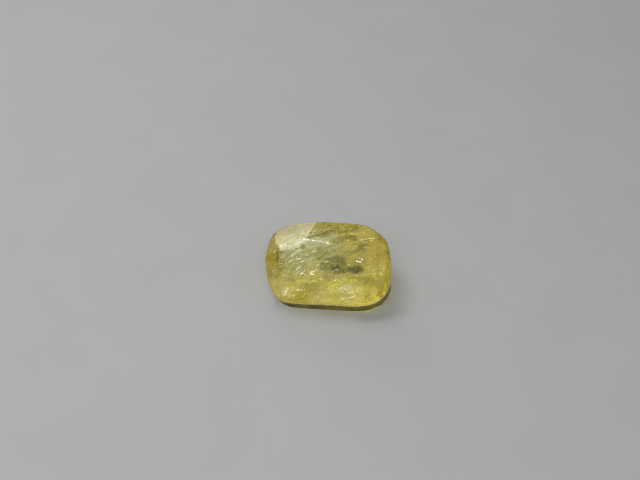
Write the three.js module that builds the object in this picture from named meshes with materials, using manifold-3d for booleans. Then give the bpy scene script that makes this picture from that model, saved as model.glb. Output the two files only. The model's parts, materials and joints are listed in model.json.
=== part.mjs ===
// A loose cushion-cut yellow sapphire, one solid crystal, lying on a pavilion facet.
//
// Units are millimetres, +Z is up. The gem is cut in its own frame: its length runs along X, the
// table faces +Z and z = 0 is the top edge of the girdle. It is then tipped over onto the facet
// that it rests on, and moved so that the origin is on the ground under the middle of the stone.
//
// The cutting follows a lapidary: a preform with the girdle's outline, then one flat after another
// ground off it. Each flat is a plane, given by the direction it faces (its azimuth, in degrees
// from +X, counter-clockwise seen from above the table) and by its slope from the girdle plane.

import * as THREE from "three";
import { mergeVertices } from "three/addons/utils/BufferGeometryUtils.js";
import Module from "manifold-3d";

// ---- Driving dimensions ----

const TABLE_HEIGHT = 1.3; // table above the girdle's top edge
const GIRDLE_THICKNESS = 0.6; // the upright band between crown and pavilion

// Points that the girdle passes through, counter-clockwise from the right end. The cutter kept the
// weight of the rough, so the left end is squarer than the right and one corner is almost sharp.
const GIRDLE_OUTLINE = [
  [5.29, -0.8], [5.18, 0.8], [4.85, 2.0], [4.12, 2.74], [3.1, 3.34], // right end and far right corner
  [1.4, 3.56], [-0.6, 3.65], [-3.3, 3.5], [-4.08, 3.2], [-4.68, 2.78], // long far side, far left corner
  [-5.12, 1.95], [-5.33, 0.6], [-5.2, -0.8], [-4.83, -2.05], [-4.4, -2.72], // left end
  [-3.96, -3.16], [-3.3, -3.36], [0.2, -3.56], [2.7, -3.64], [4.15, -3.3], [5.02, -2.45], // near side
];
const GIRDLE_POINTS = 120; // flats round the girdle, fine enough to look turned

// Crown mains: azimuth, how far from the middle each meets the table, and how high above the
// girdle's top edge it comes out.
const CROWN_MAINS = [
  { azimuth: 2, tableReach: 3.02, foot: 0.16 }, // right end
  { azimuth: 43, tableReach: 2.86, foot: 0.16 },
  { azimuth: 82, tableReach: 1.51, foot: 0.08 }, // far side, in two flats
  { azimuth: 108, tableReach: 2.25, foot: -0.12 },
  { azimuth: 182, tableReach: 3.92, foot: 0.16 }, // left end
  { azimuth: 222, tableReach: 3.5, foot: 0.16 },
  { azimuth: 263, tableReach: 1.75, foot: 0.16 }, // near side, in two flats
  { azimuth: 277, tableReach: 1.8, foot: 0.16 },
  { azimuth: 319, tableReach: 3.1, foot: 0.16 },
];
const CROWN_STEPS = [{ azimuth: 64, slope: 34, foot: 0.04 }]; // the outer step of the far right corner
const CROWN_BREAK_SLOPE = 47; // the narrow facets that break the mains' lower edges
const CROWN_BREAKS = [
  -14, 20, 32, 48, 72, 124, 138, 152, 166, 194, 208, 236, 250, 270, 292, 306, 334,
];

// Pavilion: a steep wall under the girdle, then one less steep step, then the keel facets. The near
// side has neither wall facets nor a step: there the preform's own upright side runs down to the
// facet that the stone lies on.
const PAVILION_TIERS = [
  {
    slope: 85,
    depth: 0.9,
    azimuths: [0, 18, 36, 52, 68, 84, 100, 116, 132, 150, 178, 202, 226, 246, 296, 318, 340],
  },
  {
    slope: 54,
    depth: 0.7,
    azimuths: [0, 34, 60, 82, 99, 120, 148, 180, 212, 232, 330],
  },
];
const KEEL_FACETS = [
  { azimuth: 2, slope: 39 },
  { azimuth: 40, slope: 35 },
  { azimuth: 81, slope: 33 },
  { azimuth: 99, slope: 32 },
  { azimuth: 142, slope: 35 },
  { azimuth: 178, slope: 40 },
  { azimuth: 222, slope: 36 },
  { azimuth: 314, slope: 36 },
];

// The broad facet on the near side of the keel, which the stone lies on.
const REST_FACET = { azimuth: 258, slope: 28, depth: 3.1 }; // depth: its distance from the girdle's middle

const YAW = -4; // the stone's turn on the ground, in degrees

// ---- Solids ----

const wasm = await Module();
wasm.setup();

const SAME_POINT = 1e-5; // vertices nearer to each other than this are one

// A closed geometry as a solid that can be cut.
function toSolid(geometry) {
  const plain = geometry.clone();
  plain.deleteAttribute("normal");
  plain.deleteAttribute("uv");
  const merged = mergeVertices(plain, SAME_POINT);
  return new wasm.Manifold(
    new wasm.Mesh({
      numProp: 3,
      vertProperties: merged.attributes.position.array,
      triVerts: new Uint32Array(merged.index.array),
    }),
  );
}

// A solid as a geometry with flat faces.
function toGeometry(solid) {
  const mesh = solid.getMesh();
  const geometry = new THREE.BufferGeometry();
  geometry.setAttribute("position", new THREE.BufferAttribute(mesh.vertProperties, mesh.numProp));
  geometry.setIndex(new THREE.BufferAttribute(mesh.triVerts, 1));
  const flat = geometry.toNonIndexed();
  flat.computeVertexNormals();
  return flat;
}

const radians = THREE.MathUtils.degToRad;

// The direction an azimuth names, in the girdle plane.
function facing(azimuth) {
  return new THREE.Vector3(Math.cos(radians(azimuth)), Math.sin(radians(azimuth)), 0);
}

// ---- Preform ----

const outline = new THREE.CatmullRomCurve3(
  GIRDLE_OUTLINE.map(([x, y]) => new THREE.Vector3(x, y, 0)),
  true,
  "centripetal",
).getSpacedPoints(GIRDLE_POINTS);
outline.pop(); // the last point repeats the first

// How far the girdle reaches in the direction of an azimuth.
function girdleReach(azimuth) {
  const direction = facing(azimuth);
  return Math.max(...outline.map((point) => point.dot(direction)));
}

const PREFORM_DEPTH = 6; // deeper than any pavilion cut
function makePreform() {
  const shape = new THREE.Shape(outline.map((point) => new THREE.Vector2(point.x, point.y)));
  const block = new THREE.ExtrudeGeometry(shape, {
    depth: PREFORM_DEPTH + TABLE_HEIGHT,
    bevelEnabled: false,
  });
  block.translate(0, 0, -PREFORM_DEPTH);
  return toSolid(block);
}

// ---- Cutting ----

const LAP = 40; // side of the block that stands for what the lap grinds away

// Grinds off all that lies beyond the plane through a point, facing along normal.
function grind(solid, point, normal) {
  const waste = new THREE.BoxGeometry(LAP, LAP, LAP);
  waste.translate(0, 0, LAP / 2);
  waste.applyQuaternion(new THREE.Quaternion().setFromUnitVectors(new THREE.Vector3(0, 0, 1), normal));
  waste.translate(point.x, point.y, point.z);
  return solid.subtract(toSolid(waste));
}

// Which way a facet's level part faces: up on the crown, down on the pavilion.
const CROWN = 1;
const PAVILION = -1;

// The direction a facet faces.
function facetNormal({ azimuth, slope, side }) {
  const normal = facing(azimuth).multiplyScalar(Math.sin(radians(slope)));
  normal.z = side * Math.cos(radians(slope));
  return normal;
}

// Grinds a facet that meets height z at a distance of reach from the middle.
function grindFacet(solid, { azimuth, slope, reach, z, side }) {
  const point = facing(azimuth).multiplyScalar(reach);
  point.z = z;
  return grind(solid, point, facetNormal({ azimuth, slope, side }));
}

function cutCrown(solid) {
  let cut = grind(solid, new THREE.Vector3(0, 0, TABLE_HEIGHT), new THREE.Vector3(0, 0, 1));
  for (const { azimuth, tableReach, foot } of CROWN_MAINS) {
    const run = girdleReach(azimuth) - tableReach;
    const slope = THREE.MathUtils.radToDeg(Math.atan2(TABLE_HEIGHT - foot, run));
    cut = grindFacet(cut, { azimuth, slope, reach: tableReach, z: TABLE_HEIGHT, side: CROWN });
  }
  for (const { azimuth, slope, foot } of CROWN_STEPS) {
    cut = grindFacet(cut, { azimuth, slope, reach: girdleReach(azimuth), z: foot, side: CROWN });
  }
  for (const azimuth of CROWN_BREAKS) {
    const place = { azimuth, slope: CROWN_BREAK_SLOPE, reach: girdleReach(azimuth), z: 0 };
    cut = grindFacet(cut, { ...place, side: CROWN });
  }
  return cut;
}

function cutPavilion(solid) {
  let cut = solid;
  let inset = 0; // how far the tiers so far have drawn in
  let z = -GIRDLE_THICKNESS;
  for (const { slope, depth, azimuths } of PAVILION_TIERS) {
    for (const azimuth of azimuths) {
      cut = grindFacet(cut, { azimuth, slope, reach: girdleReach(azimuth) - inset, z, side: PAVILION });
    }
    inset += depth / Math.tan(radians(slope));
    z -= depth;
  }
  for (const { azimuth, slope } of KEEL_FACETS) {
    cut = grindFacet(cut, { azimuth, slope, reach: girdleReach(azimuth) - inset, z, side: PAVILION });
  }
  const restNormal = facetNormal({ ...REST_FACET, side: PAVILION });
  return grind(cut, restNormal.clone().multiplyScalar(REST_FACET.depth), restNormal);
}

// ---- The stone, laid on its facet ----

const stone = new THREE.Mesh(
  toGeometry(cutPavilion(cutCrown(makePreform()))),
  new THREE.MeshStandardMaterial({ color: 0xc9b83e, roughness: 0.06, metalness: 0 }),
);
stone.name = "sapphire";

// Leaning the table over towards the rest facet's azimuth by the facet's slope puts the facet level.
const hinge = new THREE.Vector3(0, 0, 1).cross(facing(REST_FACET.azimuth)).normalize();
const lean = new THREE.Quaternion().setFromAxisAngle(hinge, radians(REST_FACET.slope));
const turn = new THREE.Quaternion().setFromAxisAngle(new THREE.Vector3(0, 0, 1), radians(YAW));
stone.quaternion.multiplyQuaternions(turn, lean);
stone.updateMatrixWorld(true);

const box = new THREE.Box3().setFromObject(stone, true);
const middle = box.getCenter(new THREE.Vector3());
stone.position.set(-middle.x, -middle.y, -box.min.z);

const part = new THREE.Group();
part.name = "yellow_sapphire";
part.add(stone);

export default part;
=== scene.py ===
# %% [markdown]
# # A cushion-cut yellow sapphire
#
# The piece on the bench is one crystal of sapphire, about ten and a half millimetres long, ground
# flat by flat on a lap and left lying on one of its lower facets. The cut comes from the packed
# model, so here we only dress it: the clear yellow body, the polish, and the flaws inside that tell
# a natural crystal from a piece of glass.
#
# Everything is in metres, in the model's own frame: +Z is up and the ground is at zero. A gem is so
# small that we write its sizes in millimetres and multiply them by `MM`.

# %% Load the cut stone
import bpy
import json
import math
import random
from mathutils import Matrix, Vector, noise


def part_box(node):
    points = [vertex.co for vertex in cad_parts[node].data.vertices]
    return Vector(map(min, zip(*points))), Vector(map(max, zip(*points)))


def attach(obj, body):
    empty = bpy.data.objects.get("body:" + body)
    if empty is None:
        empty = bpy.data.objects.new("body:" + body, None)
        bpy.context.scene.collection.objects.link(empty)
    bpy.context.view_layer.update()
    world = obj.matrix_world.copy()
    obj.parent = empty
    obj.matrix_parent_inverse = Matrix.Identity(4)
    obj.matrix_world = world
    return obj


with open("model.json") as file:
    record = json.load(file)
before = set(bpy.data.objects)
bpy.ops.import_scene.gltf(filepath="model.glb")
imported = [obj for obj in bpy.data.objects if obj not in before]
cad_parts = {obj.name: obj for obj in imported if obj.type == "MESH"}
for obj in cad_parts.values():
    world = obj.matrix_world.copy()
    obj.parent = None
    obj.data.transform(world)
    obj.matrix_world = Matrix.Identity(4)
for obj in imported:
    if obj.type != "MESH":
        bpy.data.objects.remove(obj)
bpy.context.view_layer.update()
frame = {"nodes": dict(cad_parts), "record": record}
stone = frame["nodes"]["sapphire"]
scene = bpy.context.scene
MM = 0.001  # one millimetre, in the scene's metres
stone_low, stone_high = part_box("sapphire")
print("stone box in mm:", [round(size / MM, 2) for size in stone_high - stone_low])

# %% [markdown]
# ## Where the camera stands
#
# A loose gem is looked at from above and in front, about halfway between level and straight down,
# so that the eye falls through the table. We could move close with a wide lens, but that bulges
# the near side. A moderate lens from some nine centimetres away keeps the outline true. We give
# the point that the camera looks at and its distance, because both are easy to check with a ruler.

# %% Camera
CAMERA_AIM = Vector((-0.74, 3.16, 2.5)) * MM  # behind the stone, which then sits low in the frame
CAMERA_DISTANCE = 93.6 * MM
CAMERA_TILT = math.radians(45)  # up from looking straight down
LENS_ANGLE = math.radians(33)

camera_data = bpy.data.cameras.new("camera")
camera_data.angle = LENS_ANGLE
camera_data.clip_start = 1 * MM
camera = bpy.data.objects.new("camera", camera_data)
backwards = Vector((0, -math.sin(CAMERA_TILT), math.cos(CAMERA_TILT)))
camera.location = CAMERA_AIM + backwards * CAMERA_DISTANCE
camera.rotation_euler = (CAMERA_TILT, 0, 0)
scene.collection.objects.link(camera)
scene.camera = camera
print("camera above the ground, mm:", round(camera.location.z / MM, 1))

# %% [markdown]
# ## Small helpers for making materials
#
# Each material is a web of nodes round one Principled shader, the node that turns colours and
# roughness into a surface. We could join the nodes by hand in the editor, but a short function for
# each common step keeps the script readable: add a node, take a sum, fade from one value to
# another. An effect that several materials share becomes a node group, a small box with named
# sockets that is built once and placed wherever it is needed.

# %% Nodes and groups


def new_material(name):
    """A material with only a Principled shader, and that shader."""
    material = bpy.data.materials.new(name)
    material.use_nodes = True
    return material, material.node_tree.nodes["Principled BSDF"]


def add_node(tree, kind, inputs=None, **settings):
    """Adds a node, sets its settings, and sets or wires its inputs."""
    node = tree.nodes.new("ShaderNode" + kind)
    for name, value in settings.items():
        setattr(node, name, value)
    for name, value in (inputs or {}).items():
        if isinstance(value, bpy.types.NodeSocket):
            tree.links.new(value, node.inputs[name])
        else:
            node.inputs[name].default_value = value
    return node


def new_group(name, inputs, outputs):
    """A node group with named sockets, and its two end nodes."""
    group = bpy.data.node_groups.new(name, "ShaderNodeTree")
    for socket_name, (kind, value) in inputs.items():
        socket = group.interface.new_socket(
            socket_name, in_out="INPUT", socket_type="NodeSocket" + kind
        )
        socket.default_value = value
    for socket_name, kind in outputs.items():
        group.interface.new_socket(socket_name, in_out="OUTPUT", socket_type="NodeSocket" + kind)
    print("node group", name, "gives", list(outputs))
    return group, group.nodes.new("NodeGroupInput").outputs, group.nodes.new("NodeGroupOutput")


def add_group(tree, group, **values):
    """Places a node group; its values are named like its sockets, with _ for a space."""
    node = tree.nodes.new("ShaderNodeGroup")
    node.node_tree = group
    for name, value in values.items():
        node.inputs[name.replace("_", " ")].default_value = value
    return node


# %% Common steps


def compute(tree, operation, *values):
    """The result of one Math node."""
    return add_node(tree, "Math", dict(enumerate(values)), operation=operation).outputs[0]


def ramp(tree, value, start, end, low=0.0, high=1.0, smooth=False):
    """Low where the value is at start, high where it is at end, and a fade between them."""
    inputs = {"Value": value, "From Min": start, "From Max": end, "To Min": low, "To Max": high}
    curve = "SMOOTHSTEP" if smooth else "LINEAR"
    return add_node(tree, "MapRange", inputs, interpolation_type=curve).outputs["Result"]


def soft_step(tree, value, middle, softness, low=0.0, high=1.0):
    """Low under the middle value, high over it, and a smooth change within softness of it."""
    start = compute(tree, "SUBTRACT", middle, softness)
    end = compute(tree, "ADD", middle, softness)
    return ramp(tree, value, start, end, low, high, smooth=True)


def mix_colours(tree, mask, one, other):
    """One colour where the mask is 0, the other where it is 1."""
    return add_node(tree, "MixRGB", {"Fac": mask, 1: one, 2: other}).outputs[0]


def place_in_mm(tree):
    """Where a point lies on its object, in millimetres."""
    place = add_node(tree, "TexCoord").outputs["Object"]
    per_mm = (1 / MM,) * 3
    return add_node(tree, "VectorMath", {0: place, 1: per_mm}, operation="MULTIPLY").outputs[0]


def how_far(tree, place, way):
    """How far a place lies in one direction."""
    return add_node(tree, "VectorMath", {0: place, 1: way}, operation="DOT_PRODUCT").outputs["Value"]


def clouds(tree, place, per_mm, detail, roughness=0.5):
    """A cloudy value between 0 and 1, mostly near the middle."""
    inputs = {"Vector": place, "Scale": per_mm, "Detail": detail, "Roughness": roughness}
    return add_node(tree, "TexNoise", inputs).outputs["Fac"]


# %% [markdown]
# ## Mottle
#
# No natural material is one flat colour. In a crystal the colour lies in drifting clouds, where
# more or less iron went in as it grew. A painted texture would do it, but it would need a picture
# and an unwrapped mesh. A noise value that chooses between two near tones needs neither, and it
# stays in place from every side, because it is worked out from the place on the object.

# %% Mottle: one colour drifting into another
mottle, wanted, given = new_group(
    "mottle",
    {
        "Colour": ("Color", (1, 1, 1, 1)),
        "Other Colour": ("Color", (0, 0, 0, 1)),
        "Patches per mm": ("Float", 1),
        "Balance": ("Float", 0.5),
        "Softness": ("Float", 0.2),
    },
    {"Colour": "Color"},
)
drift = clouds(mottle, place_in_mm(mottle), wanted["Patches per mm"], 3)
mask = soft_step(mottle, drift, wanted["Balance"], wanted["Softness"])
drifting = mix_colours(mottle, mask, wanted["Colour"], wanted["Other Colour"])
mottle.links.new(drifting, given.inputs["Colour"])

# %% [markdown]
# ## Polish
#
# A lap leaves faint waves, and handling leaves smears of grease, so a polished facet shines a
# little more in one spot than in the next. We could scratch the mesh, but the marks are far finer
# than any face. So a second group gives an uneven roughness, and a height that a bump node can
# turn into faint ripples in the reflections.

# %% Polish: a surface that is never quite evenly smooth
polish, wanted, given = new_group(
    "polish",
    {"Roughness": ("Float", 0.1), "Unevenness": ("Float", 0.5), "Patches per mm": ("Float", 2)},
    {"Roughness": "Float", "Height": "Float"},
)
smears = clouds(polish, place_in_mm(polish), wanted["Patches per mm"], 4)
either_way = ramp(polish, smears, 0.3, 0.7, -1, 1)
change = compute(polish, "MULTIPLY_ADD", either_way, wanted["Unevenness"], 1)
uneven = compute(polish, "MULTIPLY", change, wanted["Roughness"])
polish.links.new(uneven, given.inputs["Roughness"])
polish.links.new(smears, given.inputs["Height"])

# %% [markdown]
# ## The floor
#
# The stone lies on a sheet of pale grey card, matt and almost even. One large flat face is
# enough. It lies a hair below the stone's lowest facet, because two faces at exactly the same
# height flicker through each other.

# %% Floor
FLOOR_SIZE = 3.0
FLOOR_DROP = 0.02 * MM
floor_material, shader = new_material("floor_card")
paper = add_group(
    floor_material.node_tree,
    mottle,
    Colour=(0.60, 0.60, 0.595, 1),
    Other_Colour=(0.585, 0.585, 0.58, 1),
    Patches_per_mm=0.15,
)
floor_material.node_tree.links.new(paper.outputs["Colour"], shader.inputs["Base Color"])
shader.inputs["Roughness"].default_value = 0.85

reach = FLOOR_SIZE / 2
corners = [(-reach, -reach), (reach, -reach), (reach, reach), (-reach, reach)]
floor_mesh = bpy.data.meshes.new("floor")
floor_mesh.from_pydata([(x, y, -FLOOR_DROP) for x, y in corners], [], [(0, 1, 2, 3)])
floor_mesh.materials.append(floor_material)
floor = bpy.data.objects.new("floor", floor_mesh)
scene.collection.objects.link(floor)
print("floor, m across:", FLOOR_SIZE)

# %% [markdown]
# ## Soft light
#
# A gem shows its room: each polished facet mirrors one patch of it, and the light that comes back
# out of the body has bounced off the lower facets. A bare lamp gives one white dot, so jewellers
# use white cards. We do the same, with a dim sky that is lighter overhead and three glowing cards:
# one overhead, which the left part of the crown mirrors, a creamy one low behind the stone, and
# one in front, behind the camera and higher, which lights what lies inside. Glass also needs many
# bounces, because a ray may strike dozens of facets before it leaves.

# %% Sky
scene.view_settings.view_transform = "Standard"
GLASS_BOUNCES = 32
FILM_LAYERS = 48  # how many see-through faces a ray may cross
scene.cycles.max_bounces = GLASS_BOUNCES
scene.cycles.transmission_bounces = GLASS_BOUNCES
scene.cycles.transparent_max_bounces = FILM_LAYERS

SKY_COLOUR = (0.95, 0.97, 1.0, 1)
SKY_AT_THE_HORIZON = 0.14
SKY_OVERHEAD = 0.28
OVERHEAD = 0.8  # the height of a direction, from 0 level to 1 straight up, where it is brightest

world = bpy.data.worlds.new("studio")
world.use_nodes = True
sky = world.node_tree
background = sky.nodes["Background"]
background.inputs["Color"].default_value = SKY_COLOUR
looking = add_node(sky, "TexCoord").outputs["Generated"]
upward = add_node(sky, "SeparateXYZ", {0: looking}).outputs["Z"]
brightness = ramp(sky, upward, 0.0, OVERHEAD, SKY_AT_THE_HORIZON, SKY_OVERHEAD)
sky.links.new(brightness, background.inputs["Strength"])
scene.world = world
print("sky brightness from", SKY_AT_THE_HORIZON, "to", SKY_OVERHEAD)

# %% Light cards
CARD_DISTANCE = 200  # mm
COOL_WHITE = (0.97, 0.99, 1)
CREAMY_WHITE = (1, 0.96, 0.80)
OVERHEAD_CORNERS = [(-42.5, -23, 150), (-12.5, 17, 150), (-75, 85, 150), (-130, -18, 150)]


def light_card(name, corners, power, colour):
    """A flat glowing card with the given corners, in millimetres, lit on both sides."""
    card_mesh = bpy.data.meshes.new(name)
    card_mesh.from_pydata([Vector(corner) * MM for corner in corners], [], [(0, 1, 2, 3)])
    card = bpy.data.objects.new(name, card_mesh)
    material, shader = new_material(name)
    shader.inputs["Base Color"].default_value = (0, 0, 0, 1)
    shader.inputs["Emission Color"].default_value = (*colour, 1)
    shader.inputs["Emission Strength"].default_value = power
    card.data.materials.append(material)
    scene.collection.objects.link(card)
    print(name, "glows at", power)


def sky_direction(azimuth, elevation):
    """A direction by its compass angle, clockwise from +Y, and its height, in degrees."""
    turn, climb = math.radians(azimuth), math.radians(elevation)
    level = Vector((math.sin(turn), math.cos(turn), 0)) * math.cos(climb)
    return level + Vector((0, 0, math.sin(climb)))


def sky_card(name, azimuths, elevations, power, colour):
    """A light card that covers a range of directions."""
    (left, right), (low, high) = azimuths, elevations
    corners = [(left, low), (right, low), (right, high), (left, high)]
    corners = [sky_direction(*corner) * CARD_DISTANCE for corner in corners]
    light_card(name, corners, power, colour)


light_card("overhead_card", OVERHEAD_CORNERS, 3.5, COOL_WHITE)
sky_card("back_card", (-31, -7), (15, 35), 2.5, CREAMY_WHITE)
sky_card("front_card", (158, 215), (40, 62), 3.8, COOL_WHITE)

# %% [markdown]
# ## A map of the stone
#
# A gem grader plots flaws on a drawing of the stone seen straight through its table. We use the
# same map: x runs along the stone and y across it, in millimetres from the middle of the table,
# and a depth says how far below the surface a flaw lies. The stone lies tipped over, so the map's
# directions come from the table facet, which the model names as a mount. The facets' planes, read
# from the cut stone, tell which facet covers a place, and how much crystal a flaw has round it.

# %% Directions and facets
CROWN_HEIGHT = 1.3  # from the table down to the girdle, in mm
FACES_UP = 0.01  # how far up a facet's normal points, at least, if it is one of the crown's
table = next(mount for mount in frame["record"]["mounts"] if mount["name"] == "table")
TABLE_MIDDLE = Vector(table["pos_m"])
TABLE_UP = Vector(table["axis"]).normalized()
ALONG = (Vector((1, 0, 0)) - TABLE_UP * TABLE_UP.x).normalized()
ACROSS = TABLE_UP.cross(ALONG)

facets = {}
for polygon in stone.data.polygons:
    corner = stone.data.vertices[polygon.vertices[0]].co
    name = tuple(round(part, 3) for part in polygon.normal)
    facets.setdefault(name, (polygon.normal.copy(), polygon.normal.dot(corner)))
facets = list(facets.values())
print("facets and girdle flats:", len(facets))

# %% Places on the map


def clearance(point):
    """How far inside the stone a point lies."""
    return min(reach - normal.dot(point) for normal, reach in facets)


def top_facet(x, y):
    """The facet over a place on the map: how far it is below the table's level, and its normal."""
    top = TABLE_MIDDLE + (ALONG * x + ACROSS * y) * MM
    found = (0, TABLE_UP)
    for normal, reach in facets:
        lean = normal.dot(TABLE_UP)
        if lean > FACES_UP and (normal.dot(top) - reach) / lean > found[0]:
            found = ((normal.dot(top) - reach) / lean, normal)
    return found


def spot(x, y, depth):
    """The point at a place on the map, depth millimetres under the surface."""
    level = TABLE_MIDDLE + (ALONG * x + ACROSS * y) * MM
    return level - TABLE_UP * (top_facet(x, y)[0] + depth * MM)


def compass(degrees):
    """A direction in the table's plane, counter-clockwise from the stone's length."""
    turn = math.radians(degrees)
    return ALONG * math.cos(turn) + ACROSS * math.sin(turn)


print("crystal under the table's middle, mm:", round(clearance(spot(0, 0, 1.5)) / MM, 2))

# %% [markdown]
# ## Patches
#
# Smoke, milk and colour zones keep to one area of the stone and fade at its edge. On the mesh
# there is nothing to select, so the patch group measures on the grader's map instead: an oval, with
# an edge that wanders on a broad noise, so that no patch looks drawn with compasses.

# %% Patch: a soft-edged oval area of the map
patch, wanted, given = new_group(
    "patch",
    {
        "Along": ("Float", 0),
        "Across": ("Float", 0),
        "Half Length": ("Float", 1),
        "Half Width": ("Float", 1),
        "Softness": ("Float", 0.3),
        "Wander": ("Float", 0.8),
        "Wander per mm": ("Float", 0.7),
    },
    {"Mask": "Float"},
)
place = place_in_mm(patch)
ratios = []
for way, middle, reach in ((ALONG, "Along", "Half Length"), (ACROSS, "Across", "Half Width")):
    measured = compute(patch, "SUBTRACT", how_far(patch, place, way), way.dot(TABLE_MIDDLE) / MM)
    offset = compute(patch, "SUBTRACT", measured, wanted[middle])
    ratios.append(compute(patch, "DIVIDE", offset, wanted[reach]))
oval = add_node(patch, "CombineXYZ", {"X": ratios[0], "Y": ratios[1]}).outputs[0]
distance = add_node(patch, "VectorMath", {0: oval}, operation="LENGTH").outputs["Value"]
wander = compute(patch, "SUBTRACT", clouds(patch, place, wanted["Wander per mm"], 2), 0.5)
pushed = compute(patch, "MULTIPLY_ADD", wander, wanted["Wander"], distance)
mask = soft_step(patch, pushed, 1.0, wanted["Softness"], low=1.0, high=0.0)
patch.links.new(mask, given.inputs["Mask"])

# %% [markdown]
# ## Silk
#
# Sapphire often holds silk: threads of another mineral, too fine to see one by one, that all run
# one way and catch the light as soft streaks. Thousands of threads would choke the renderer. A
# noise that is drawn out in one direction gives the same streaks on a film of mesh, and a few films
# at different depths give them room. The streaks fade before the ends of the stone, which are clear.

# %% Silk: soft streaks that all run one way
silk, wanted, given = new_group(
    "silk",
    {
        "Streaks per mm": ("Float", 3),
        "Length": ("Float", 5),
        "Heading": ("Float", 0.5),
        "Balance": ("Float", 0.5),
        "Softness": ("Float", 0.1),
        "Lowest": ("Float", 0),
        "Highest": ("Float", 1),
    },
    {"Mask": "Float"},
)
place = place_in_mm(silk)
on_map = {name: how_far(silk, place, way) for name, way in zip("XYZ", (ALONG, ACROSS, TABLE_UP))}
on_map = add_node(silk, "CombineXYZ", on_map).outputs[0]
turned = add_node(
    silk,
    "VectorRotate",
    {"Vector": on_map, "Angle": wanted["Heading"]},
    rotation_type="Z_AXIS",
    invert=True,
).outputs[0]
squeeze = {"X": compute(silk, "DIVIDE", 1, wanted["Length"]), "Y": 1, "Z": 1}
squeeze = add_node(silk, "CombineXYZ", squeeze).outputs[0]
drawn_out = add_node(silk, "VectorMath", {0: turned, 1: squeeze}, operation="MULTIPLY").outputs[0]
threads = clouds(silk, drawn_out, wanted["Streaks per mm"], 3, roughness=0.55)
mask = soft_step(
    silk, threads, wanted["Balance"], wanted["Softness"], wanted["Lowest"], wanted["Highest"]
)
clear_ends = add_group(silk, patch, Along=0.35, Half_Length=5.0, Half_Width=3.8, Softness=0.3)
faded = compute(silk, "MULTIPLY", mask, clear_ends.outputs["Mask"])
silk.links.new(faded, given.inputs["Mask"])

# %% [markdown]
# ## Worn edges
#
# Where two facets meet, the edge is never a perfect line: it has been rubbed against other stones
# in a packet for years. A bevel modifier rounds each edge by a few hundredths of a millimetre, so
# that it catches a fine line of light. The cut itself isn't touched, which a sculpted edge would do.

# %% Worn edges
WEAR = 0.03
SHARP_ENOUGH = math.radians(4)  # edges flatter than this are girdle flats, and stay
SAME_POINT = 1e-7  # corners nearer to each other than this, in metres, are one
weld = stone.modifiers.new("weld", "WELD")
weld.merge_threshold = SAME_POINT
worn = stone.modifiers.new("worn_edges", "BEVEL")
worn.width = WEAR * MM
worn.segments = 2
worn.limit_method = "ANGLE"
worn.angle_limit = SHARP_ENOUGH
worn.harden_normals = True
print("edges rounded by mm:", WEAR)

# %% [markdown]
# ## The colour of the crystal
#
# A sapphire's yellow sits in its depth: thin parts look pale, thick parts golden. So the surface is
# clear, with sapphire's high refractive index of 1.77, and a volume absorbs the blue light along the
# way that each ray goes through the stone. A coloured surface alone would look like painted glass.
# What the surface does have is a light tint that changes over it, pale over the silky middle and
# gold at the ends, which stands for the crystal's growth zones.

# %% Clear body with growth zones
REFRACTIVE_INDEX = 1.77
ABSORPTION_COLOUR = (0.94, 0.90, 0.13, 1)
ABSORPTION_PER_METRE = 240

sapphire, shader = new_material("yellow_sapphire")
tree = sapphire.node_tree
shader.inputs["IOR"].default_value = REFRACTIVE_INDEX
shader.inputs["Transmission Weight"].default_value = 1
absorb = add_node(
    tree, "VolumeAbsorption", {"Color": ABSORPTION_COLOUR, "Density": ABSORPTION_PER_METRE}
)
tree.links.new(absorb.outputs["Volume"], tree.nodes["Material Output"].inputs["Volume"])

gold = add_group(
    tree, mottle, Colour=(1, 0.93, 0.50, 1), Other_Colour=(1, 0.88, 0.34, 1), Patches_per_mm=0.6
)
pale = add_group(
    tree, mottle, Colour=(0.97, 0.99, 0.88, 1), Other_Colour=(1, 0.96, 0.74, 1), Patches_per_mm=0.5
)
pale_area = add_group(tree, patch, Along=-0.3, Half_Length=4.0, Half_Width=2.9, Softness=0.3)
growth_zones = mix_colours(
    tree, pale_area.outputs["Mask"], gold.outputs["Colour"], pale.outputs["Colour"]
)
stone.data.materials[0] = sapphire
print("absorbs per metre:", ABSORPTION_PER_METRE)

# %% [markdown]
# ## Areas of the surface
#
# Not all of the stone is plain polished crystal. The near side, from the girdle's top edge down to
# the facet that the stone lies on, leans out over the shadowed ground, and it is painted a dark
# shade and made rough. Round the far side, a thin rim at the girdle is tinted darker and greyer,
# which dims that edge. We could paint these areas on vertices, but a mask made of heights and
# distances keeps its edges exact, however few faces the facets have.

# %% Masks for the near wall's painted shade and the darker far rim
WALL_TOP, WALL_FOOT = -0.07, -1.67  # heights above the girdle's top edge, in mm
WALL_REACH = -1.55  # how far across the map the near wall's painted shade runs round the corners
RIM_TOP, RIM_FOOT = 0.36, -0.675

place = place_in_mm(tree)
above_girdle = compute(
    tree, "SUBTRACT", how_far(tree, place, TABLE_UP), TABLE_UP.dot(TABLE_MIDDLE) / MM - CROWN_HEIGHT
)
map_x = compute(tree, "SUBTRACT", how_far(tree, place, ALONG), ALONG.dot(TABLE_MIDDLE) / MM)
map_y = compute(tree, "SUBTRACT", how_far(tree, place, ACROSS), ACROSS.dot(TABLE_MIDDLE) / MM)


def all_of(*masks):
    """One where every mask is one."""
    both = masks[0]
    for mask in masks[1:]:
        both = compute(tree, "MULTIPLY", both, mask)
    return both


def fade(value, middle, half_width):
    """From 0 to 1 across a middle value, or from 1 to 0 where the half width is negative."""
    return ramp(tree, value, middle - half_width, middle + half_width)


# The near wall hangs over the shadow under the stone; this mask carries its painted shade.
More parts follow.
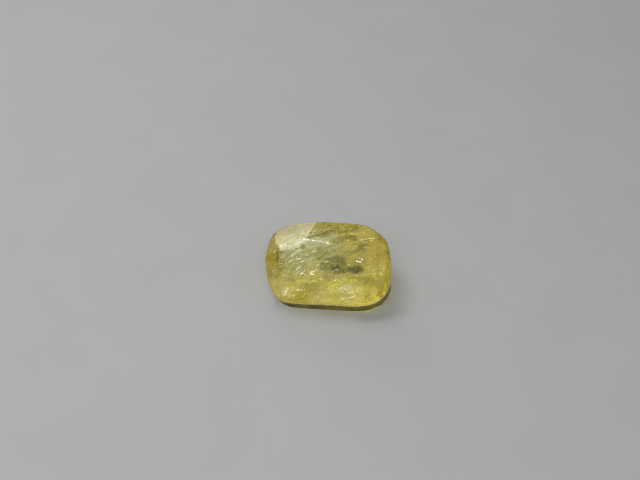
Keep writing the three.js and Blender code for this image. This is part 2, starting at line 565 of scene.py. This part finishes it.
near_wall_shade_mask = all_of(
    fade(map_y, WALL_REACH, -0.55),
    fade(above_girdle, WALL_TOP, -0.05),
    fade(above_girdle, WALL_FOOT, 0.05),
)
# A thin rim round the far side of the girdle, tinted darker and greyer, which dims that edge.
darker_far_rim = all_of(
    fade(above_girdle, RIM_FOOT, 0.075),
    fade(above_girdle, RIM_TOP, -0.06),
    fade(map_y, 2.0, 0.4),
    fade(map_x, 3.4, -0.6),
)
print("sawn wall, mm high:", round(WALL_TOP - WALL_FOOT, 2))

# %% Colours: painted shade on the near wall, and the darker far rim
# Painted shade: the near wall is coloured almost black, as dark as the shadow it hangs over.
painted_wall_shade = add_group(
    tree,
    mottle,
    Colour=(0.02, 0.017, 0.002, 1),
    Other_Colour=(0.06, 0.052, 0.006, 1),
    Patches_per_mm=1.2,
    Softness=0.15,
)
far_rim_tones = add_group(
    tree, mottle, Colour=(0.40, 0.38, 0.20, 1), Other_Colour=(0.60, 0.57, 0.32, 1), Patches_per_mm=1.5
)
tinted_crown = mix_colours(tree, darker_far_rim, growth_zones, far_rim_tones.outputs["Colour"])
body = mix_colours(tree, near_wall_shade_mask, tinted_crown, painted_wall_shade.outputs["Colour"])
tree.links.new(body, shader.inputs["Base Color"])
print("material nodes so far:", len(tree.nodes))

# %% [markdown]
# ## Polish above, frost below
#
# The crown has the full polish, and the lower facets only a satin one, which a cutter often leaves
# where it won't be seen. Rough glass scatters what passes through, so the lower facets glow
# instead of showing sharp pictures of the ground. The change lies in the first tenth of a
# millimetre under the girdle's top edge, and the polish group makes both a little uneven.

# %% Polish and frost
POLISHED = 0.015
FROSTED = 0.32
NEAR_WALL_ROUGHNESS = 0.6  # added on the near wall, which is painted dark as shade
WAVE_HEIGHT = 0.004
finish = add_group(tree, polish, Unevenness=0.4, Patches_per_mm=1.5)
satin = ramp(tree, above_girdle, -0.1, -0.02, FROSTED, POLISHED)
coarse = ramp(tree, near_wall_shade_mask, 0.0, 1.0, 0.0, NEAR_WALL_ROUGHNESS)
tree.links.new(compute(tree, "ADD", satin, coarse), finish.inputs["Roughness"])
tree.links.new(finish.outputs["Roughness"], shader.inputs["Roughness"])
lap_waves = {"Height": finish.outputs["Height"], "Strength": 0.3, "Distance": WAVE_HEIGHT * MM}
lap_waves = add_node(tree, "Bump", lap_waves).outputs["Normal"]
tree.links.new(lap_waves, shader.inputs["Normal"])
print("roughness from", POLISHED, "to", FROSTED + NEAR_WALL_ROUGHNESS)

# %% [markdown]
# ## Letting lamp light in
#
# Light that is bent by glass on its way to a lamp is slow to find, so by default a glass body casts
# a black shadow on whatever is inside it. The usual way out is to let rays that look for a lamp
# pass straight through. Here they pass outwards through any facet, which lights the flaws inside,
# and inwards only through the middle of the near wall, the part painted dark as shade, so that some
# light from behind the stone reaches the ground in front of it. Everywhere else they stop, and the
# stone casts its shadow.

# %% Lamp light through the facets
wall_middle = all_of(near_wall_shade_mask, fade(map_x, -4.1, 0.3), fade(map_x, 2.55, -0.35))
inside_face = add_node(tree, "NewGeometry").outputs["Backfacing"]
let_through = compute(tree, "MAXIMUM", inside_face, wall_middle)
clear = add_node(tree, "BsdfTransparent", {"Color": let_through})
seeks_lamp = add_node(tree, "LightPath").outputs["Is Shadow Ray"]
surface = add_node(
    tree, "MixShader", {0: seeks_lamp, 1: shader.outputs["BSDF"], 2: clear.outputs["BSDF"]}
)
tree.links.new(surface.outputs["Shader"], tree.nodes["Material Output"].inputs["Surface"])
print("nodes in the crystal's material:", len(tree.nodes))

# %% [markdown]
# ## Thin films
#
# Most of what shows inside is thin: veils of silk, and feathers, which are cracks that healed while
# the crystal grew. A single sheet of faces would render, but it has no inside, so it can't be
# printed or weighed. We make each film as a closed wafer a hundredth of a millimetre thick:
# two layers of points over a grid, joined round the border, with gaps where the stone ends.

# %% Pieces
draw = random.Random(7)


def make_piece(name, points, faces, material, smooth=False):
    """A mesh object that rides with the stone."""
    mesh = bpy.data.meshes.new(name)
    mesh.from_pydata(points, [], faces)
    mesh.polygons.foreach_set("use_smooth", [smooth] * len(mesh.polygons))
    mesh.materials.append(material)
    piece = bpy.data.objects.new(name, mesh)
    scene.collection.objects.link(piece)
    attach(piece, "root")
    print(name, "has", len(faces), "faces")


# %% Wafers over a grid
FILM_THICKNESS = 0.012
FILM_CLEARANCE = 0.06  # the least crystal between a film and the surface


def thin_film(name, columns, rows, place_at, material):
    """A closed wafer over a grid; place_at gives a grid point's place and its up, or None."""
    points, faces, index, border = [], [], {}, {}
    for column in range(columns + 1):
        for row in range(rows + 1):
            placed = place_at(column / columns, row / rows)
            if placed is None or clearance(placed[0]) < FILM_CLEARANCE * MM:
                continue
            point, up = placed
            index[column, row] = len(points)
            half = up * (FILM_THICKNESS * MM / 2)
            points += [point + half, point - half]
    for column in range(columns):
        for row in range(rows):
            ring = [(column, row), (column + 1, row), (column + 1, row + 1), (column, row + 1)]
            if not all(cell in index for cell in ring):
                continue
            tops = [index[cell] for cell in ring]
            faces.append(tuple(tops))
            faces.append(tuple(top + 1 for top in reversed(tops)))
            for this, following in zip(tops, tops[1:] + tops[:1]):
                if (following, this) in border:
                    del border[following, this]
                else:
                    border[this, following] = True
    faces += [(following, this, this + 1, following + 1) for this, following in border]
    make_piece(name, points, faces, material, smooth=True)


BROAD_FOLDS = 0.22  # how high the folds of a film are, in mm
FINE_FOLDS = 0.06


def crumple(u, v, seed):
    """How far a film wanders off flat, in mm."""
    broad = noise.noise(Vector((u * 0.9, v * 1.4, seed)))
    fine = noise.noise(Vector((u * 3.0, v * 5.0, seed + 9)))
    return broad * BROAD_FOLDS + fine * FINE_FOLDS


# %% [markdown]
# ## Silk veils
#
# Three veils follow the crown, a third of a millimetre below it and deeper: fine threads on top,
# then coarse ones, then clouds. One veil with everything on it would look like a printed label,
# because nothing on it would shift when the stone turns. Their tint changes over the map, cream
# under the table, straw round it, and bright in front, where the low facets throw light back.

# %% A silky material
CREAM = (0.66, 0.69, 0.53, 1)
STRAW = (0.76, 0.67, 0.20, 1)
LIT = (1.0, 0.93, 0.42, 1)


def deeper(colour, share):
    """A darker shade of a colour."""
    return (*(share * part for part in colour[:3]), 1)


def silky(name, tints, streaks, roughness=0.6, metallic=0.0):
    """A pale material in streaks: cream under the table, straw round it and lit in front."""
    cream, straw, lit = tints
    material, shader = new_material(name)
    tree = material.node_tree
    straws = add_group(
        tree, mottle, Colour=straw, Other_Colour=deeper(straw, 0.85), Patches_per_mm=0.9
    )
    cream_area = add_group(
        tree, patch, Along=-1.0, Across=0.9, Half_Length=2.6, Half_Width=2.2, Softness=0.35
    )
    lit_area = add_group(
        tree, patch, Along=-0.8, Across=-2.9, Half_Length=4.4, Half_Width=1.4, Softness=0.35
    )
    unlit = mix_colours(tree, cream_area.outputs["Mask"], straws.outputs["Colour"], cream)
    tinted = mix_colours(tree, lit_area.outputs["Mask"], unlit, lit)
    tree.links.new(tinted, shader.inputs["Base Color"])
    tree.links.new(add_group(tree, silk, **streaks).outputs["Mask"], shader.inputs["Alpha"])
    shader.inputs["Roughness"].default_value = roughness
    shader.inputs["Metallic"].default_value = metallic
    return material


def streaky(per_mm, length, heading, balance, softness, highest):
    """Values for the silk group."""
    return {
        "Streaks_per_mm": per_mm,
        "Length": length,
        "Heading": math.radians(heading),
        "Balance": balance,
        "Softness": softness,
        "Highest": highest,
    }


# %% Three veils
VEIL_HALF_LENGTH = 5.4
VEIL_HALF_WIDTH = 3.7
VEIL_STEP = 0.11


def veil(name, depth, seed, material):
    """A film under the whole crown."""

    def place_at(u, v):
        x = (2 * u - 1) * VEIL_HALF_LENGTH
        y = (2 * v - 1) * VEIL_HALF_WIDTH
        return spot(x, y, depth + crumple(x, y, seed)), TABLE_UP

    columns = round(2 * VEIL_HALF_LENGTH / VEIL_STEP)
    rows = round(2 * VEIL_HALF_WIDTH / VEIL_STEP)
    thin_film(name, columns, rows, place_at, material)


SILK_TINTS = (CREAM, STRAW, LIT)
veil("fine_veil", 0.35, 11, silky("fine_silk", SILK_TINTS, streaky(4.5, 6, 24, 0.62, 0.12, 0.5)))
veil("coarse_veil", 0.8, 23, silky("coarse_silk", SILK_TINTS, streaky(1.9, 4, 30, 0.58, 0.14, 0.4)))
veil("cloud_veil", 1.25, 37, silky("cloud_silk", SILK_TINTS, streaky(0.8, 2.2, 20, 0.52, 0.16, 0.3)))

# %% [markdown]
# ## Feathers
#
# A feather is a crack that healed, crumpled like thin foil, and it mirrors the light wherever a
# crumple faces a lamp. A bump on a flat film would change only its shading. Here the points
# themselves are moved by noise, so that the flashes move as the stone is turned. Each feather lies at
# its own heading and tilt, and its outline is an oval that the noise has bitten into.

# %% Crumpled feathers
FEATHERS = [
    # map x, y, depth, length, width, heading, tilt
    (-1.9, 0.0, 0.8, 3.6, 2.2, 32, 12),
    (-0.2, -1.0, 0.6, 3.0, 1.2, 24, -14),
    (-2.2, -2.1, 0.5, 2.8, 1.5, 26, 10),
    (0.2, 2.2, 0.7, 3.4, 1.2, -4, 12),
    (4.5, -0.8, 0.5, 1.3, 1.8, 60, 8),
    (3.4, 1.6, 0.5, 2.0, 1.0, 10, 10),
    (2.3, -2.4, 0.4, 2.2, 1.0, 8, 8),
    (-2.6, 1.9, 0.5, 2.8, 1.4, 12, 8),
    (0.2, -2.6, 0.5, 2.4, 0.8, 10, 10),
]
FEATHER_STEP = 0.07
BITTEN = 0.7  # how deep the noise bites into a feather's outline
FEATHER_TINTS = ((0.95, 0.97, 0.86, 1), (0.9, 0.84, 0.5, 1), (1, 0.95, 0.7, 1))
feather_film = silky(
    "feather_film", FEATHER_TINTS, streaky(2.6, 3.5, 26, 0.56, 0.1, 0.26), roughness=0.35, metallic=0.5
)


def feather(number, x, y, depth, length, width, heading, tilt):
    """A crumpled film with a ragged oval outline."""
    way = compass(heading)
    lean = math.radians(tilt)
    side = compass(heading + 90) * math.cos(lean) + TABLE_UP * math.sin(lean)
    up = way.cross(side)
    middle = spot(x, y, depth)
    seed = number * 10

    def place_at(share_of_length, share_of_width):
        u = (share_of_length - 0.5) * length
        v = (share_of_width - 0.5) * width
        rim = (2 * u / length) ** 2 + (2 * v / width) ** 2
        rim += noise.noise(Vector((u * 1.3, v * 1.3, seed + 5))) * BITTEN
        if rim > 1:
            return None
        return middle + (way * u + side * v + up * crumple(u, v, seed)) * MM, up

    columns, rows = round(length / FEATHER_STEP), round(width / FEATHER_STEP)
    thin_film(f"feather_{number}", columns, rows, place_at, feather_film)


for number, row in enumerate(FEATHERS, start=1):
    feather(number, *row)

# %% [markdown]
# ## Flakes
#
# Everything smaller is a flake: a tiny closed body with an uneven rim, a peak above its middle and
# one below. A particle system would scatter copies faster, but an exported model loses it. So we
# gather the points and faces of hundreds of flakes in one list and make one mesh of them. A flake
# that would come too near the surface is left out.

# %% A gathering of flakes
FLAKE_CLEARANCE = 0.04
RIM_CORNERS = 6
RAGGED = 0.4  # how uneven a rim is


class Flaws:
    """The points and faces of many small flaws, gathered for one mesh."""

    def __init__(self):
        self.points = []
        self.faces = []

    def add_flake(self, middle, heading, up, length, width, thickness):
        """One thin closed flake: an uneven rim with a peak above and one below its middle."""
        if clearance(middle) < (FLAKE_CLEARANCE + length / 2) * MM:
            return
        along = (heading - up * heading.dot(up)).normalized()
        across = up.cross(along)
        first = len(self.points)
        for corner in range(RIM_CORNERS):
            turn = 2 * math.pi * corner / RIM_CORNERS
            step = along * (math.cos(turn) * length / 2) + across * (math.sin(turn) * width / 2)
            self.points.append(middle + step * (1 + draw.uniform(-RAGGED, RAGGED)) * MM)
        self.points.append(middle + up * thickness / 2 * MM)
        self.points.append(middle - up * thickness / 2 * MM)
        top, bottom = first + RIM_CORNERS, first + RIM_CORNERS + 1
        for corner in range(RIM_CORNERS):
            this, following = first + corner, first + (corner + 1) % RIM_CORNERS
            self.faces.append((this, following, top))
            self.faces.append((following, this, bottom))


def tilted(up, degrees):
    """A direction near up, leaned over by as much as the given angle."""
    side = compass(math.degrees(draw.uniform(0, 2 * math.pi)))
    side = (side - up * side.dot(up)).normalized()
    lean = math.radians(draw.uniform(0, degrees))
    return up * math.cos(lean) + side * math.sin(lean)


# %% [markdown]
# ## Streaks and specks
#
# Dust-like specks and short streaks crowd the left half, the front and the right end. Between
# them, right of the middle, the crystal is cleaner. An even scatter would look like noise on a
# screen. So a place is drawn at random and kept only as often as two things allow: how crowded that
# part of the map is, and a noise that makes thickets and clearings. Three in ten are streaks, which
# follow the silk.

# %% Streaks and specks
GRAIN = 28  # degrees from the stone's length: the way that the silk runs
TRIES = 2200
SHARE_OF_STREAKS = 0.3
SHALLOWEST = 0.12
DEPTH_RANGE = 0.9  # most lie near the top of it
SPECK_THICKNESS = 0.02
CROWDS = [
    # map x, y of the middle, reach along, reach across, how crowded the middle is
    (-1.4, -0.6, 2.6, 2.2, 1.0),  # the left half
    (-0.4, -2.4, 3.4, 1.2, 1.0),  # the front
    (-0.6, 2.0, 2.6, 1.2, 0.6),  # the far side
    (4.7, -0.7, 0.9, 1.2, 0.8),  # the right end
]
STRAYS = 0.08  # how crowded it is far from any of them


def crowd(x, y):
    """How crowded with flaws a place on the map is, from 0 to 1."""
    crowded = 0
    for middle_x, middle_y, along, across, most in CROWDS:
        falloff = math.exp(-((x - middle_x) / along) ** 2 - ((y - middle_y) / across) ** 2)
        crowded = max(crowded, most * falloff)
    return min(1, crowded + STRAYS)


streaks = Flaws()
for _ in range(TRIES):
    x, y = draw.uniform(-5.3, 5.3), draw.uniform(-3.6, 3.6)
    thicket = noise.noise(Vector((x * 0.9, y * 1.6, 3))) + 0.5
    if draw.random() > crowd(x, y) * thicket:
        continue
    depth = SHALLOWEST + DEPTH_RANGE * draw.random() ** 2
    is_streak = draw.random() < SHARE_OF_STREAKS
    length = draw.uniform(0.2, 0.55) if is_streak else draw.uniform(0.05, 0.14)
    width = draw.uniform(0.025, 0.05) if is_streak else length * draw.uniform(0.4, 0.9)
    way, up = tilted(compass(GRAIN), 22), tilted(TABLE_UP, 30)
    streaks.add_flake(spot(x, y, depth), way, up, length, width, SPECK_THICKNESS)

speck_material, shader = new_material("pale_speck")
tree = speck_material.node_tree
tints = add_group(
    tree, mottle, Colour=(0.95, 0.95, 0.80, 1), Other_Colour=(0.86, 0.83, 0.6, 1), Patches_per_mm=3
)
tree.links.new(tints.outputs["Colour"], shader.inputs["Base Color"])
shader.inputs["Roughness"].default_value = 0.5
make_piece("streaks_and_specks", streaks.points, streaks.faces, speck_material)

# %% [markdown]
# ## Bright films
#
# Tiny liquid films flash like sequins when they face half-way between the eye and a lamp. We could
# scatter hundreds and hope, but few would flash. Instead we lay small clusters where such flashes
# sit, and lean each film so that light from overhead leaves through the facet over it. The flakes
# are thin, bright and slightly rough, which spreads each flash over a few degrees.

# %% Facing the lamp
BRIGHT_THICKNESS = 0.004
BRIGHT_DEPTH = 0.2
LAMP_LEFT = 0.10  # leans every film to the left, where overhead_card hangs
LAMP_BACK = 0.126  # and away from the eye, which is in front


def to_the_lamp(x, y):
    """The way that a film faces to flash: half as tilted as its facet, a bit left and a bit back."""
    half_way = top_facet(x, y)[1] + TABLE_UP - ALONG * LAMP_LEFT + ACROSS * LAMP_BACK
    return half_way.normalized()


bright_film, shader = new_material("bright_film")
tree = bright_film.node_tree
tints = add_group(
    tree, mottle, Colour=(1, 0.99, 0.93, 1), Other_Colour=(1, 0.93, 0.7, 1), Patches_per_mm=2
)
tree.links.new(tints.outputs["Colour"], shader.inputs["Base Color"])
shader.inputs["Roughness"].default_value = 0.28
shader.inputs["Metallic"].default_value = 1
table_lean = math.degrees(to_the_lamp(0, 0).angle(TABLE_UP))
print("a film under the table's middle leans, degrees:", round(table_lean, 1))

# %% Clusters of bright films
CLUSTERS = [
    # map x, y, size of the cluster, how many films
    (-1.6, -1.1, 0.1, 12), (-0.9, -1.1, 0.2, 9), (0.4, -0.2, 0.1, 3), (-0.3, -0.4, 0.1, 5),
    (-1.8, -0.4, 0.3, 5), (-2.6, -0.7, 0.3, 4), (-2.1, 0.2, 0.3, 4), (-1.2, 1.8, 0.2, 6),
    (0.6, 1.4, 0.1, 6), (3.3, 1.7, 0.2, 5), (4.2, 1.8, 0.3, 5), (3.2, 0.0, 0.2, 5),
    (-4.0, 1.0, 0.1, 5), (-3.1, 1.4, 0.2, 8), (-4.1, -0.6, 0.3, 12), (-4.0, -1.7, 0.2, 7),
    (-3.2, -2.6, 0.2, 12), (-2.9, -2.2, 0.1, 16), (-1.8, -2.2, 0.4, 9), (-2.4, -2.8, 0.2, 7),
    (0.0, -1.6, 0.2, 4), (1.2, -1.7, 0.3, 7), (1.6, -2.4, 0.1, 10), (1.9, -2.5, 0.2, 9),
    (2.4, -2.2, 0.1, 7), (3.0, -2.4, 0.2, 6), (1.5, -3.1, 0.2, 7), (2.7, -3.0, 0.2, 6),
    (4.4, -0.6, 0.5, 14), (4.9, -1.0, 0.4, 14), (4.4, -1.3, 0.4, 8),
]
films = Flaws()
for x, y, size, count in CLUSTERS:
    for _ in range(count):
        step = ALONG * draw.gauss(0, size / 2) + ACROSS * draw.gauss(0, size / 3)
        step += TABLE_UP * draw.gauss(0, size / 4)
        length = draw.uniform(0.06, 0.15)
        way, up = tilted(compass(GRAIN), 30), tilted(to_the_lamp(x, y), 14)
        middle = spot(x, y, BRIGHT_DEPTH) + step * MM
        films.add_flake(middle, way, up, length, length / 2, BRIGHT_THICKNESS)
make_piece("bright_films", films.points, films.faces, bright_film)

# %% [markdown]
# ## Bright needles
#
# A few longer threads of silk shine as fine lines, and one is bent into a small crescent. A long
# thin tube would mirror one unbroken line, as a wire does. Real needles are broken, so each is a
# row of flakes, turned a little from one to the next, with some missing.

# %% Needles
NEEDLES = [
    # map x, y where it starts, heading, how far it turns, length, width
    (-1.5, 1.85, -9, 0, 0.5, 0.07), (-0.9, 1.75, -10, 0, 1.6, 0.045),  # by the table's far edge
    (3.35, 1.7, 12, 0, 0.95, 0.045), (3.4, 0.95, 5, 0, 0.35, 0.05), (3.4, 1.35, 15, 0, 0.25, 0.03),
    (2.95, -0.2, -45, 130, 0.65, 0.08),  # the crescent
    (-4.05, 1.0, 30, -10, 1.0, 0.055), (-3.4, 0.3, 20, 0, 0.35, 0.03),  # at the left end
    (-3.2, -2.65, 60, -25, 0.55, 0.11), (-2.5, -2.85, 40, 0, 0.2, 0.06),
    (-2.75, -0.1, 25, 0, 0.45, 0.05), (-2.0, 0.15, 10, 0, 0.35, 0.05),  # left of the middle
    (-1.75, -0.15, 22, 0, 0.45, 0.06), (-2.1, -0.75, 30, 0, 0.4, 0.05),
    (-0.85, -0.95, -5, 0, 0.25, 0.07), (-0.95, -1.2, -5, 0, 0.35, 0.07),
    (0.35, -0.25, 30, 0, 0.3, 0.035),
    (-2.1, -2.3, -25, 50, 0.7, 0.065), (1.45, -2.5, 10, 0, 0.2, 0.06),  # along the near side
    (1.8, -2.55, 55, 0, 0.25, 0.08), (1.45, -3.2, 8, 0, 1.35, 0.07), (2.15, -2.75, 10, 0, 0.85, 0.06),
]
NEEDLE_DEPTH = 0.16
FLAKE_SPACING = 0.12
MISSING = 0.15  # the share of a needle's flakes that are missing
UNSTEADY = 0.015  # how far its flakes lie off its line
needles = Flaws()
for x, y, heading, bend, length, width in NEEDLES:
    flakes = max(2, round(length / FLAKE_SPACING))
    for number in range(flakes):
        turn = math.radians(heading + bend * (number + 0.5) / flakes)
        step_x, step_y = math.cos(turn) * length / flakes, math.sin(turn) * length / flakes
        middle = spot(x + step_x / 2, y + step_y / 2, NEEDLE_DEPTH)
        way, up = compass(math.degrees(turn)), tilted(to_the_lamp(x, y), 9)
        x, y = x + step_x, y + step_y
        if draw.random() < MISSING:
            continue
        middle += ACROSS * draw.gauss(0, UNSTEADY) * MM
        flake_length = length / flakes * draw.uniform(1.0, 1.7)
        flake_width = width * draw.uniform(0.8, 1.5)
        needles.add_flake(middle, way, up, flake_length, flake_width, BRIGHT_THICKNESS)
make_piece("bright_needles", needles.points, needles.faces, bright_film)

# %% [markdown]
# ## Dark crystals
#
# Right of the middle sit two knots of tiny dark crystals of another mineral, which grew first and
# were swallowed by the sapphire. Flakes do again, only stubbier. They are dull, because a polished
# black grain would mirror the cards and look white.

# %% Dark crystals
KNOTS = [
    # map x, y, spread along, spread across, how many, size
    (1.1, -0.75, 0.10, 0.07, 12, 0.10),
    (1.35, -0.55, 0.12, 0.08, 10, 0.09),
    (1.65, -1.15, 0.15, 0.06, 8, 0.07),
    (2.55, -0.85, 0.22, 0.12, 26, 0.10),
    (3.0, -1.05, 0.18, 0.10, 18, 0.10),
]
crystals = Flaws()
for x, y, spread_along, spread_across, count, size in KNOTS:
    for _ in range(count):
        off_x, off_y = draw.gauss(0, spread_along), draw.gauss(0, spread_across)
        middle = spot(x + off_x, y + off_y, draw.uniform(0.12, 0.3))
        length = size * draw.uniform(0.6, 1.6)
        way, up = tilted(compass(GRAIN), 60), tilted(TABLE_UP, 40)
        crystals.add_flake(middle, way, up, length, length * 0.6, length * 0.4)

crystal_material, shader = new_material("dark_crystal")
tree = crystal_material.node_tree
tints = add_group(
    tree, mottle, Colour=(0.09, 0.08, 0.01, 1), Other_Colour=(0.18, 0.16, 0.025, 1), Patches_per_mm=4
)
tree.links.new(tints.outputs["Colour"], shader.inputs["Base Color"])
shader.inputs["Roughness"].default_value = 0.8
shader.inputs["Specular IOR Level"].default_value = 0.1
make_piece("dark_crystals", crystals.points, crystals.faces, crystal_material)

# %% [markdown]
# ## Smoke, honey, milk and painted light
#
# Broad soft stains lie under the crown: smoke round the dark crystals, honey at the left end, milk
# along the front. The same veil also carries painted light and shade: glows at the corners and the
# right end, light thrown back along the near side, shade between the feathers, and a dark reflection
# along the table's left edge. A separate small film for each shows its edge, like a sticker. So one
# veil carries them all. Each patch has a colour and a strength, a later one covers an earlier one,
# the strongest sets how dense the veil is, and a broad silk breaks the whole up.

# %% A veil of stains and painted light
STAINS_AND_PAINTED_LIGHT = [
    # colour, strength, map x, y, half length, half width, softness
    ((0.19, 0.18, 0.02), 0.55, 1.05, -0.45, 1.15, 0.85, 0.3),  # smoke over the table
    ((0.09, 0.085, 0.01), 0.66, 1.15, -0.7, 0.5, 0.35, 0.4),
    ((0.20, 0.18, 0.02), 0.5, 2.0, -0.95, 0.9, 0.3, 0.45),
    ((0.13, 0.12, 0.01), 0.52, 2.85, -0.95, 0.75, 0.4, 0.45),
    ((0.60, 0.52, 0.14), 0.58, 4.3, -2.5, 1.6, 1.25, 0.3),  # haze in the near right corner
    ((0.55, 0.48, 0.14), 0.5, 0.75, -1.5, 0.8, 0.35, 0.3),  # haze along the table's near edge
    ((0.58, 0.50, 0.12), 0.45, -0.9, -2.15, 1.3, 0.4, 0.4),
    ((0.58, 0.52, 0.16), 0.4, -2.6, -1.4, 0.7, 0.45, 0.4),
    ((0.60, 0.45, 0.02), 0.6, -4.35, 0.6, 0.7, 2.1, 0.3),  # honey at the left end
    ((0.26, 0.21, 0.01), 0.55, -3.6, 0.35, 0.17, 0.95, 0.4),  # painted dark reflection along the table's left edge
    ((0.45, 0.45, 0.18), 0.4, -1.95, -0.35, 0.9, 0.5, 0.4),  # shade between the feathers
    ((0.48, 0.43, 0.10), 0.4, 2.75, -0.2, 0.5, 0.35, 0.4),
    ((1, 0.88, 0.40), 0.5, -3.75, -2.0, 1.1, 0.9, 0.35),  # glow at the near left corner
    ((0.93, 0.80, 0.24), 0.36, 4.6, 0.4, 0.8, 1.6, 0.35),  # glow at the right end
    ((0.95, 0.84, 0.36), 0.5, 3.9, 2.3, 1.1, 0.6, 0.35),  # and at the far right corner
    ((1, 0.93, 0.44), 0.6, 1.7, -3.0, 2.3, 0.8, 0.35),  # milk along the near side, painted bright with light that the low facets throw back
    ((1, 0.97, 0.76), 0.5, 2.7, -2.6, 0.9, 0.5, 0.4),
    ((0.88, 0.88, 0.64), 0.32, -0.3, 1.6, 1.0, 0.5, 0.4),  # milk at the table's far edge
    ((1, 0.96, 0.72), 0.45, -3.2, -2.4, 0.5, 0.4, 0.4),
]
stain_and_light_film, shader = new_material("stain_and_light_film")
tree = stain_and_light_film.node_tree
tint, density = (0.8, 0.7, 0.3, 1), 0.0
for colour, strength, x, y, half_length, half_width, softness in STAINS_AND_PAINTED_LIGHT:
    area = add_group(
        tree,
        patch,
        Along=x,
        Across=y,
        Half_Length=half_length,
        Half_Width=half_width,
        Softness=softness,
        Wander=1.6,
        Wander_per_mm=1.1,
    ).outputs["Mask"]
    shades = add_group(
        tree, mottle, Colour=(*colour, 1), Other_Colour=deeper(colour, 0.8), Patches_per_mm=1.5
    )
    tint = mix_colours(tree, area, tint, shades.outputs["Colour"])
    density = compute(tree, "MAXIMUM", compute(tree, "MULTIPLY", area, strength), density)
broken_up = add_group(tree, silk, **streaky(1.6, 3, 22, 0.5, 0.2, 1.15), Lowest=0.6)
density = compute(tree, "MULTIPLY", density, broken_up.outputs["Mask"])
tree.links.new(tint, shader.inputs["Base Color"])
tree.links.new(density, shader.inputs["Alpha"])
shader.inputs["Roughness"].default_value = 0.6
veil("stain_and_light_veil", 0.3, 51, stain_and_light_film)
